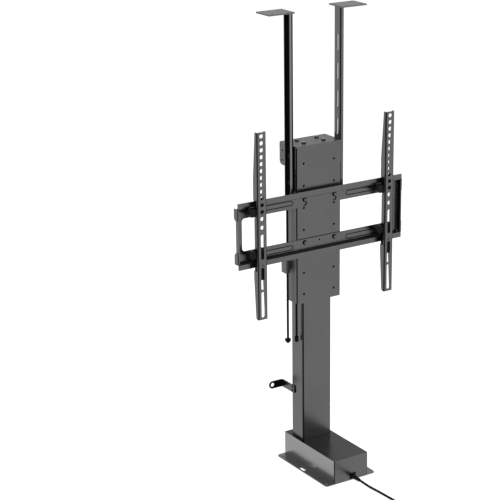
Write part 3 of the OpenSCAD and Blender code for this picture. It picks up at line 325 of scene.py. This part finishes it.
# Faces painted with shade and light: each test takes a face's middle and its normal.
# A share of the normal below ACROSS means that the face runs along that axis, one above FACING
# that it looks along it, one above TURNED takes in the fold too, and one above FLAT leaves it out.
# The last three serve one test each: the frame's ends, its grooves and a post's front flange.

SLIGHT = 0.2
ACROSS = 0.3
TURNED = 0.4
FACING = 0.6
FLAT = 0.97
END_TURNED = 0.25
GROOVE_FACING = 0.5
FLANGE_FACING = 0.8

SHADED_BEND_NODES = ("outer_tube", "carriage_channel", "arm_left", "arm_right", "lid_post_left",
              "lid_post_right")
WASHER = 0.8 * MM
SLACK = 0.1 * MM
FRAME_SHEET = 2.5 * MM
GROOVE_DEPTH = 1.4 * MM
LIP_HEIGHT = 14.5 * MM
FOLD = 3 * MM
PLATE_MARGIN = 4 * MM
CHANNEL_MARGIN = 10 * MM
TOP_EDGE = 1 * MM
END_START = 0.2
CLOSE = 0.25 * MM
PLATE_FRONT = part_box("front_plate")[0].y
FRAME_FRONT = PLATE_FRONT - FRAME_SHEET
PLATE_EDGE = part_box("front_plate")[1].x
PLATE_LOW, PLATE_HIGH = (corner.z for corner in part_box("front_plate"))
POST_MID = (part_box("lid_post_left")[0].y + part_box("lid_post_left")[1].y) / 2
POST_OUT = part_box("lid_post_right")[1].x
FRAME_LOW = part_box("tv_frame")[0].z


def paint_faces(made, material, test):
    made.data.materials.append(material)
    place = len(made.data.materials) - 1
    for polygon in made.data.polygons:
        if test(polygon.center, polygon.normal):
            polygon.material_index = place


def is_bend(middle, normal):
    """The part of an upright bend that turns from the front to a side."""
    upright = abs(normal.z) < SLIGHT
    return upright and normal.y < -TURNED and abs(normal.x) > SLIGHT


def on_washer(along, seat, step):
    """The washers of a set of bolts: step is the way from the seat to the head."""
    return lambda middle, normal: -SLACK < (middle[along] - seat) * step < WASHER + SLACK


def is_plate_hole(middle, normal):
    """The wall of a hole in the front plate, or one of the plate's side edges."""
    inside = PLATE_LOW + PLATE_MARGIN < middle.z < PLATE_HIGH - PLATE_MARGIN
    return abs(normal.y) < ACROSS and inside


def is_channel_hole(middle, normal):
    inside = abs(middle.x) < PLATE_EDGE - CHANNEL_MARGIN and middle.y < 0
    return abs(normal.y) < ACROSS and inside


def is_groove(middle, normal):
    depth = middle.y - FRAME_FRONT
    floor = normal.y < -GROOVE_FACING and abs(depth - GROOVE_DEPTH) < CLOSE
    wall = abs(normal.y) < ACROSS and abs(depth - GROOVE_DEPTH / 2) < CLOSE
    return floor or wall


def is_keyhole(middle, normal):
    depth = middle.y - FRAME_FRONT
    inside = 0 < depth < FRAME_SHEET and abs(middle.x) < PLATE_EDGE
    return abs(normal.y) < ACROSS and inside


def is_end_inside(middle, normal):
    """The inner side of one of the frame's end flanges, with its fold."""
    inwards = normal.x * middle.x < 0
    return abs(middle.x) > END_START and inwards and abs(normal.x) > END_TURNED


def is_low_shelf(middle, normal):
    """The upper side of the frame's lower flange, with the folds on both sides of it."""
    return normal.z > ACROSS and middle.z < FRAME_LOW + LIP_HEIGHT + FOLD


def is_post_inside(middle, normal):
    """The open side of a lid post, without the ends of its flanges."""
    outwards = normal.x * middle.x > 0
    return outwards and abs(normal.x) > FACING and abs(middle.x) < POST_OUT - FOLD


def is_rear_flange(middle, normal):
    return normal.y < -FACING and middle.y > POST_MID


def is_front_flange(middle, normal):
    return normal.y < -FLANGE_FACING and middle.y < POST_MID


def is_plate_top(middle, normal):
    return normal.z > TURNED and middle.z > PLATE_HIGH - TOP_EDGE


def is_bolt_side(middle, normal):
    return abs(normal.y) < FACING


def is_strap_front(middle, normal):
    return normal.y < -TURNED


def is_side(middle, normal):
    return abs(normal.x) > FACING


def is_flat_side(middle, normal):
    """A side without its bends."""
    return abs(normal.x) > FLAT


def is_top(middle, normal):
    return normal.z > FACING


SHEET_EDGE = 0.35 * MM
FINE_EDGE = 0.2 * MM
SKINS = {
    "floor_plate": SHEET_EDGE, "base_cover": SHEET_EDGE, "cap_bracket": SHEET_EDGE,
    "carriage_channel": SHEET_EDGE, "front_plate": SHEET_EDGE, "tv_frame": SHEET_EDGE,
    "lid_post_left": SHEET_EDGE, "lid_post_right": SHEET_EDGE, "lid_pad_left": SHEET_EDGE,
    "lid_pad_right": SHEET_EDGE, "arm_left": SHEET_EDGE, "arm_right": SHEET_EDGE,
    "clamp_left": FINE_EDGE, "clamp_right": FINE_EDGE, "wall_strap_left": SHEET_EDGE,
    "wall_strap_right": SHEET_EDGE, "outer_tube": SHEET_EDGE, "cap_bolts": FINE_EDGE,
    "frame_bolts": FINE_EDGE, "post_bolts": FINE_EDGE, "strap_screws": FINE_EDGE,
    "guide_block": SHEET_EDGE, "trip_rod": FINE_EDGE, "guide_rod": FINE_EDGE,
    "knob_left_top": SHEET_EDGE, "knob_left_bottom": SHEET_EDGE,
    "knob_right_top": SHEET_EDGE, "knob_right_bottom": SHEET_EDGE}
SKIN_OF = {node: dressed(node, edge) for node, edge in SKINS.items()}
# The upright bends of these parts are painted near black: painted shade along each bend
for shaded_bend_node in SHADED_BEND_NODES:
    paint_faces(SKIN_OF[shaded_bend_node], DARK_SHADE, is_bend)
CAP_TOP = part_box("cap_bracket")[1].z
# Where two tests hold for a face, the later row paints it
PAINTED_SHADE_AND_LIGHT = (
    # Washers of the cap bolts painted black: painted shade, a dark ring round each head
    ("cap_bolts", BLACK, on_washer(2, CAP_TOP, 1)),
    # Washers and side walls of the frame bolts painted near black: painted shade, a dark ring round
    # each head
    ("frame_bolts", DEEP_SHADE, on_washer(1, FRAME_FRONT, -1)), ("frame_bolts", DEEP_SHADE, is_bolt_side),
    # The plate's top edge, the walls of its holes and its side edges painted near black: painted
    # shade in the gaps
    ("front_plate", DEEP_SHADE, is_plate_top),
    ("front_plate", DEEP_SHADE, is_plate_hole),
    # The channel's flat sides painted lighter and rougher: painted light; the walls of its holes
    # painted near black: painted shade
    ("carriage_channel", CHANNEL_SIDE_LIGHT, is_flat_side),
    ("carriage_channel", DEEP_SHADE, is_channel_hole),
    # The frame's grooves, keyholes, inner end sides and lower shelf painted dark: painted shade in
    # its recesses and folds
    ("tv_frame", DARK_SHADE, is_groove), ("tv_frame", DEEP_SHADE, is_keyhole),
    ("tv_frame", DEEP_SHADE, is_end_inside), ("tv_frame", DARK_SHADE, is_low_shelf),
    # The open insides of both lid posts and the left post's rear flange painted near black: painted
    # shade; the left post's front flange gets painted shade and a painted highlight
    ("lid_post_left", DEEP_SHADE, is_post_inside), ("lid_post_right", DEEP_SHADE, is_post_inside),
    ("lid_post_left", DEEP_SHADE, is_rear_flange), ("lid_post_left", FLANGE_SHADE_AND_HIGHLIGHT, is_front_flange),
    # The straps' front faces painted near black while their sides keep the grey: painted shade
    ("wall_strap_left", DEEP_SHADE, is_strap_front), ("wall_strap_right", DEEP_SHADE, is_strap_front),
    # The base cover's sides painted lighter: painted light; its top painted darker and its bends
    # near black: painted shade
    ("base_cover", COVER_SIDE_LIGHT, is_side), ("base_cover", TOP_SHADE, is_top),
    ("base_cover", DARK_SHADE, is_bend),
    # The tops of the cap bracket and lid pads painted a little darker: painted shade
    ("cap_bracket", HIGH_TOP_SHADE, is_top), ("lid_pad_left", HIGH_TOP_SHADE, is_top),
    ("lid_pad_right", HIGH_TOP_SHADE, is_top))
for painted_node, paint, face_test in PAINTED_SHADE_AND_LIGHT:
    paint_faces(SKIN_OF[painted_node], paint, face_test)


# Cord: the same route as the solids, in metres

CORD = 5.5 * MM
CORD_Z = 2.8 * MM
COIL_MID = Vector((-0.030, -0.385, 0))
COIL_R, COIL_PITCH, COIL_LAYER, COIL_TURNS = 34.5 * MM, 6.1 * MM, 5.95 * MM, 1.6875
COIL_LAYERS = 4
CLIMB = 0.5
COIL_PERIOD = COIL_TURNS + CLIMB
COIL_END = COIL_LAYERS * COIL_TURNS + (COIL_LAYERS - 1) * CLIMB
STEPS_PER_TURN = 32
RUN_END = -0.3795
RUN_STEPS = 3
RELIEF_END = Vector((0.005, -0.1872, 0.0085))
PLUG_Z = 8.7 * MM
TAIL = 60 * MM
TAIL_LEVEL = 0.3
TAIL_STEPS = 16
RUN = [tuple(RELIEF_END), (0.005, -0.1932, 0.0085), (0.0064, -0.203, 0.0068),
       (0.0088, -0.214, 0.0045), (0.011, -0.226, 0.0031), (0.0126, -0.240, CORD_Z),
       (0.0138, -0.260, CORD_Z), (0.0148, -0.280, CORD_Z), (0.0155, -0.300, CORD_Z),
       (0.015, -0.325, CORD_Z), (0.011, -0.350, CORD_Z), (0.006, -0.367, CORD_Z),
       (0.0045, -0.374, CORD_Z), (0.0045, RUN_END, CORD_Z)]


def ease(t):
    return (1 - math.cos(math.pi * t)) / 2


def smooth_route(points, steps):
    """A curve through the points, with some steps between each two."""
    route = []
    last = len(points) - 1
    for i in range(last):
        a, b = Vector(points[max(i - 1, 0)]), Vector(points[i])
        c, d = Vector(points[i + 1]), Vector(points[min(i + 2, last)])
        for k in range(steps):
            t = k / steps
            route.append((2 * b + (c - a) * t + (2 * a - 5 * b + 4 * c - d) * t * t
                          + (3 * b - a - 3 * c + d) * t * t * t) / 2)
    route.append(Vector(points[last]))
    return route


def coil_point(s):
    """The coil after s turns: it winds inwards and outwards by turns, and climbs between."""
    layer = math.floor(s / COIL_PERIOD)
    part = s - layer * COIL_PERIOD
    wound = min(part, 2 * COIL_TURNS + CLIMB - part)
    climb = max(part - COIL_TURNS, 0) / CLIMB
    inwards = wound if layer % 2 == 0 else COIL_TURNS - wound
    radius = COIL_R - COIL_PITCH * inwards
    turn = -2 * math.pi * s
    return COIL_MID + Vector((radius * math.cos(turn), radius * math.sin(turn),
                              CORD_Z + COIL_LAYER * (layer + ease(climb))))


def cord_route():
    route = smooth_route(RUN, RUN_STEPS)
    steps = round(COIL_END * STEPS_PER_TURN)
    route += [coil_point(COIL_END * k / steps) for k in range(steps)]
    top = CORD_Z + (COIL_LAYERS - 1) * COIL_LAYER
    tail_y = COIL_MID.y - COIL_R
    for k in range(TAIL_STEPS + 1):
        t = k / TAIL_STEPS
        fall = ease(max(t - TAIL_LEVEL, 0) / (1 - TAIL_LEVEL))
        route.append(Vector((COIL_MID.x - TAIL * t, tail_y, top + (PLUG_Z - top) * fall)))
    route.append(Vector((COIL_MID.x - TAIL - CORD, tail_y, PLUG_Z)))
    return route


def make_cord():
    route = cord_route()
    data = bpy.data.curves.new("power_cord", "CURVE")
    data.dimensions = "3D"
    data.bevel_depth = CORD / 2
    data.bevel_resolution = 4
    data.use_fill_caps = True
    spline = data.splines.new("POLY")
    spline.points.add(len(route) - 1)
    for point, place in zip(spline.points, route):
        point.co = (*place, 1)
    spline.use_smooth = True
    data.materials.append(RUBBER)
    made = bpy.data.objects.new("power_cord", data)
    bpy.context.scene.collection.objects.link(made)
    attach(made, "base")
    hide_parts("power_cord_run", "power_cord_coil")
    return made, route


def circle():
    """Cosine and sine of each corner of a ring."""
    for k in range(RING_SIDES):
        angle = 2 * math.pi * k / RING_SIDES
        yield math.cos(angle), math.sin(angle)


def close_skin(bm, loops, first_cap, last_cap):
    """Joins rings of corners into one closed skin. Each cap's corners run so that it faces out."""
    for low, high in zip(loops, loops[1:]):
        for k in range(RING_SIDES):
            after = (k + 1) % RING_SIDES
            bm.faces.new((low[k], low[after], high[after], high[k]))
    bm.faces.new(first_cap)
    bm.faces.new(last_cap)
    bmesh.ops.recalc_face_normals(bm, faces=bm.faces)


def ring_stack(bm, rings):
    """Rings of (centre, radius) across -Y, joined into one closed skin."""
    loops = [[bm.verts.new(Vector(centre) + radius * Vector((c, 0, s))) for c, s in circle()]
             for centre, radius in rings]
    close_skin(bm, loops, loops[0][::-1], loops[-1])


def add_block(bm, low, high):
    """A box between two corners."""
    low, high = Vector(low), Vector(high)
    size = high - low
    for vert in bmesh.ops.create_cube(bm, size=1.0)["verts"]:
        vert.co = vert.co * size + (low + high) / 2


RELIEF_START = -0.1612
RELIEF_OVERLAP = 2 * MM
RELIEF_RADIUS = 5.2 * MM
RELIEF_BURIED = 5.1 * MM
RELIEF_RIBS = 6
RELIEF_LIP = 0.5 * MM
RELIEF_EDGE = 0.25 * MM
RIB_DEPTH = 0.9 * MM
RIB_FADE = 0.5
RIB_STEPS = ((0.0, 0), (0.62, 0), (0.66, RIB_DEPTH), (0.96, RIB_DEPTH))


def make_strain_relief():
    """Grommet block in the cover's notch, with a ribbed taper round the cord."""
    bm = bmesh.new()
    low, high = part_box("cord_gland")
    add_block(bm, (low.x, RELIEF_START, low.z), high)
    x, end, z = RELIEF_END
    taper = CORD / 2 + RIB_DEPTH - RELIEF_RADIUS
    rings = [((x, RELIEF_START + RELIEF_OVERLAP, z), RELIEF_BURIED)]
    for k in range(RELIEF_RIBS):
        for share, inset in RIB_STEPS:
            t = (k + share) / RELIEF_RIBS
            y = RELIEF_START + (end - RELIEF_START) * t
            rings.append(((x, y, z), RELIEF_RADIUS + taper * t - inset * (1 - RIB_FADE * t)))
    rings.append(((x, end, z), CORD / 2 + RELIEF_LIP))
    ring_stack(bm, rings)
    made = mesh_object("strain_relief", bm, BLACK_PLASTIC, "base")
    round_edges(made, RELIEF_EDGE, 1)
    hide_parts("cord_gland")
    return made


NECK_LENGTH = 18 * MM
NECK_RIBS = 6
NECK_WALL = 0.6 * MM
NECK_TAPER = 2.6 * MM
NECK_STEPS = ((0.0, 0), (0.35, 0), (0.45, NECK_WALL), (0.9, NECK_WALL))
PLUG_LENGTH = 28 * MM
# Share of the length, half width and half height in mm, and how square the ring is
PLUG_RINGS = ((0.0, 8.0, 6.4, 0.8), (0.12, 10.6, 7.9, 0.6), (0.35, 11.8, 8.5, 0.5),
              (0.8, 11.9, 8.6, 0.42), (0.95, 11.6, 8.3, 0.42), (1.0, 10.8, 7.6, 0.42))
BLADE_OFFSET = 6.35 * MM
BLADE_EDGE = 0.4 * MM
BLADE_ROOT = 1 * MM
BLADE_HALF_Y = 0.75 * MM
BLADE_HALF_Z = 3.2 * MM


def plug_ring(bm, x, mid_y, half_y, half_z, power=1.0):
    """A ring across X; a power below 1 makes it squarer."""
    return [bm.verts.new((x, mid_y + half_y * math.copysign(abs(c) ** power, c),
                          PLUG_Z + half_z * math.copysign(abs(s) ** power, s)))
            for c, s in circle()]


def make_plug():
    """Moulded two-blade plug with a ribbed neck, lying beside the coil."""
    low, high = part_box("power_plug")
    mid_y = (low.y + high.y) / 2
    body_x = high.x - NECK_LENGTH
    blade_x = body_x - PLUG_LENGTH + BLADE_ROOT
    bm = bmesh.new()
    loops = []
    for k in range(NECK_RIBS):
        radius = CORD / 2 + NECK_WALL + NECK_TAPER * k / NECK_RIBS
        for shift, grow in NECK_STEPS:
            x = high.x - NECK_LENGTH * (k + shift) / NECK_RIBS
            loops.append(plug_ring(bm, x, mid_y, radius + grow, radius + grow))
    for share, half_y, half_z, power in PLUG_RINGS:
        x = body_x - PLUG_LENGTH * share
        loops.append(plug_ring(bm, x, mid_y, half_y * MM, half_z * MM, power))
    close_skin(bm, loops, loops[0], loops[-1][::-1])
    body = mesh_object("plug_body", bm, RUBBER, "base")
    blades = bmesh.new()
    for side in (-1, 1):
        y = mid_y + side * BLADE_OFFSET
        add_block(blades, (low.x, y - BLADE_HALF_Y, PLUG_Z - BLADE_HALF_Z),
                  (blade_x, y + BLADE_HALF_Y, PLUG_Z + BLADE_HALF_Z))
    pins = mesh_object("plug_blades", blades, BLADE, "base")
    round_edges(pins, BLADE_EDGE)
    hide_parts("power_plug")
    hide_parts("power_plug")
    return [body, pins]


cord, cord_points = make_cord()
relief = make_strain_relief()
plug = make_plug()


# Floor, world and lamps

WORLD_LIGHT = 0.5
WHITE = (1, 1, 1, 1)
FLOOR_RADIUS = 7.0
FLOOR_SIDES = 96
FLOOR_GREY = 0.8
FLOOR_GLOW = 0.62


def background_rays(graph):
    """The light path, its glossy and transmission rays, and those with camera rays added.

    Metal shows the pale background through them."""
    path = graph.add("ShaderNodeLightPath")
    shiny = graph.math("MAXIMUM", path.outputs["Is Glossy Ray"],
                       path.outputs["Is Transmission Ray"])
    return path, shiny, graph.math("MAXIMUM", path.outputs["Is Camera Ray"], shiny)


def make_world():
    world = bpy.data.worlds.new("studio")
    world.use_nodes = True
    graph = Graph(world.node_tree)
    seen_by = background_rays(graph)[2]
    seen = graph.add("ShaderNodeBackground", Strength=1.0, Color=WHITE)
    lit = graph.add("ShaderNodeBackground", Strength=WORLD_LIGHT, Color=WHITE)
    mix = graph.add("ShaderNodeMixShader")
    graph.link(seen_by, mix.inputs[0])
    graph.link(lit.outputs[0], mix.inputs[1])
    graph.link(seen.outputs[0], mix.inputs[2])
    graph.finish(mix, "ShaderNodeOutputWorld")
    bpy.context.scene.world = world


def make_floor():
    """Pale floor that keeps the shadow; reflections show it as the same white background."""
    bm = bmesh.new()
    bmesh.ops.create_circle(bm, cap_ends=True, segments=FLOOR_SIDES, radius=FLOOR_RADIUS)
    mesh = bpy.data.meshes.new("floor")
    bm.to_mesh(mesh)
    bm.free()
    floor = bpy.data.objects.new("floor", mesh)
    bpy.context.scene.collection.objects.link(floor)
    material, graph = new_material("studio_floor")
    path, shiny, _ = background_rays(graph)
    diffuse = graph.add("ShaderNodeBsdfDiffuse", Color=(FLOOR_GREY, FLOOR_GREY, FLOOR_GREY, 1))
    glow = graph.add("ShaderNodeEmission", Strength=FLOOR_GLOW, Color=WHITE)
    both = graph.add("ShaderNodeAddShader")
    graph.link(diffuse.outputs[0], both.inputs[0])
    graph.link(glow.outputs[0], both.inputs[1])
    mirror = graph.add("ShaderNodeEmission", Strength=1.0, Color=WHITE)
    seen = graph.add("ShaderNodeMixShader")
    graph.link(path.outputs["Is Camera Ray"], seen.inputs[0])
    graph.link(diffuse.outputs[0], seen.inputs[1])
    graph.link(both.outputs[0], seen.inputs[2])
    whole = graph.add("ShaderNodeMixShader")
    graph.link(shiny, whole.inputs[0])
    graph.link(seen.outputs[0], whole.inputs[1])
    graph.link(mirror.outputs[0], whole.inputs[2])
    graph.finish(whole)
    mesh.materials.append(material)


def make_lamp(name, place, target, size, power):
    data = bpy.data.lights.new(name, "AREA")
    data.shape = "RECTANGLE"
    data.size, data.size_y = size
    data.energy = power
    lamp = bpy.data.objects.new(name, data)
    bpy.context.scene.collection.objects.link(lamp)
    lamp.location = place
    lamp.rotation_euler = (Vector(target) - Vector(place)).to_track_quat("-Z", "Y").to_euler()


make_world()
make_floor()
# Each lamp has its place, the point that it faces, its width and height, and its power in watts
make_lamp("key_lamp", (-2.4, -2.2, 2.6), (0, 0, 0.6), (1.4, 1.4), 70)
make_lamp("fill_lamp", (2.6, -2.4, 1.6), (0, 0, 0.5), (1.6, 1.6), 30)
make_lamp("top_lamp", (0.2, 0.6, 3.4), (0, 0, 0.5), (1.6, 1.6), 10)

bpy.context.scene.view_settings.view_transform = "Standard"
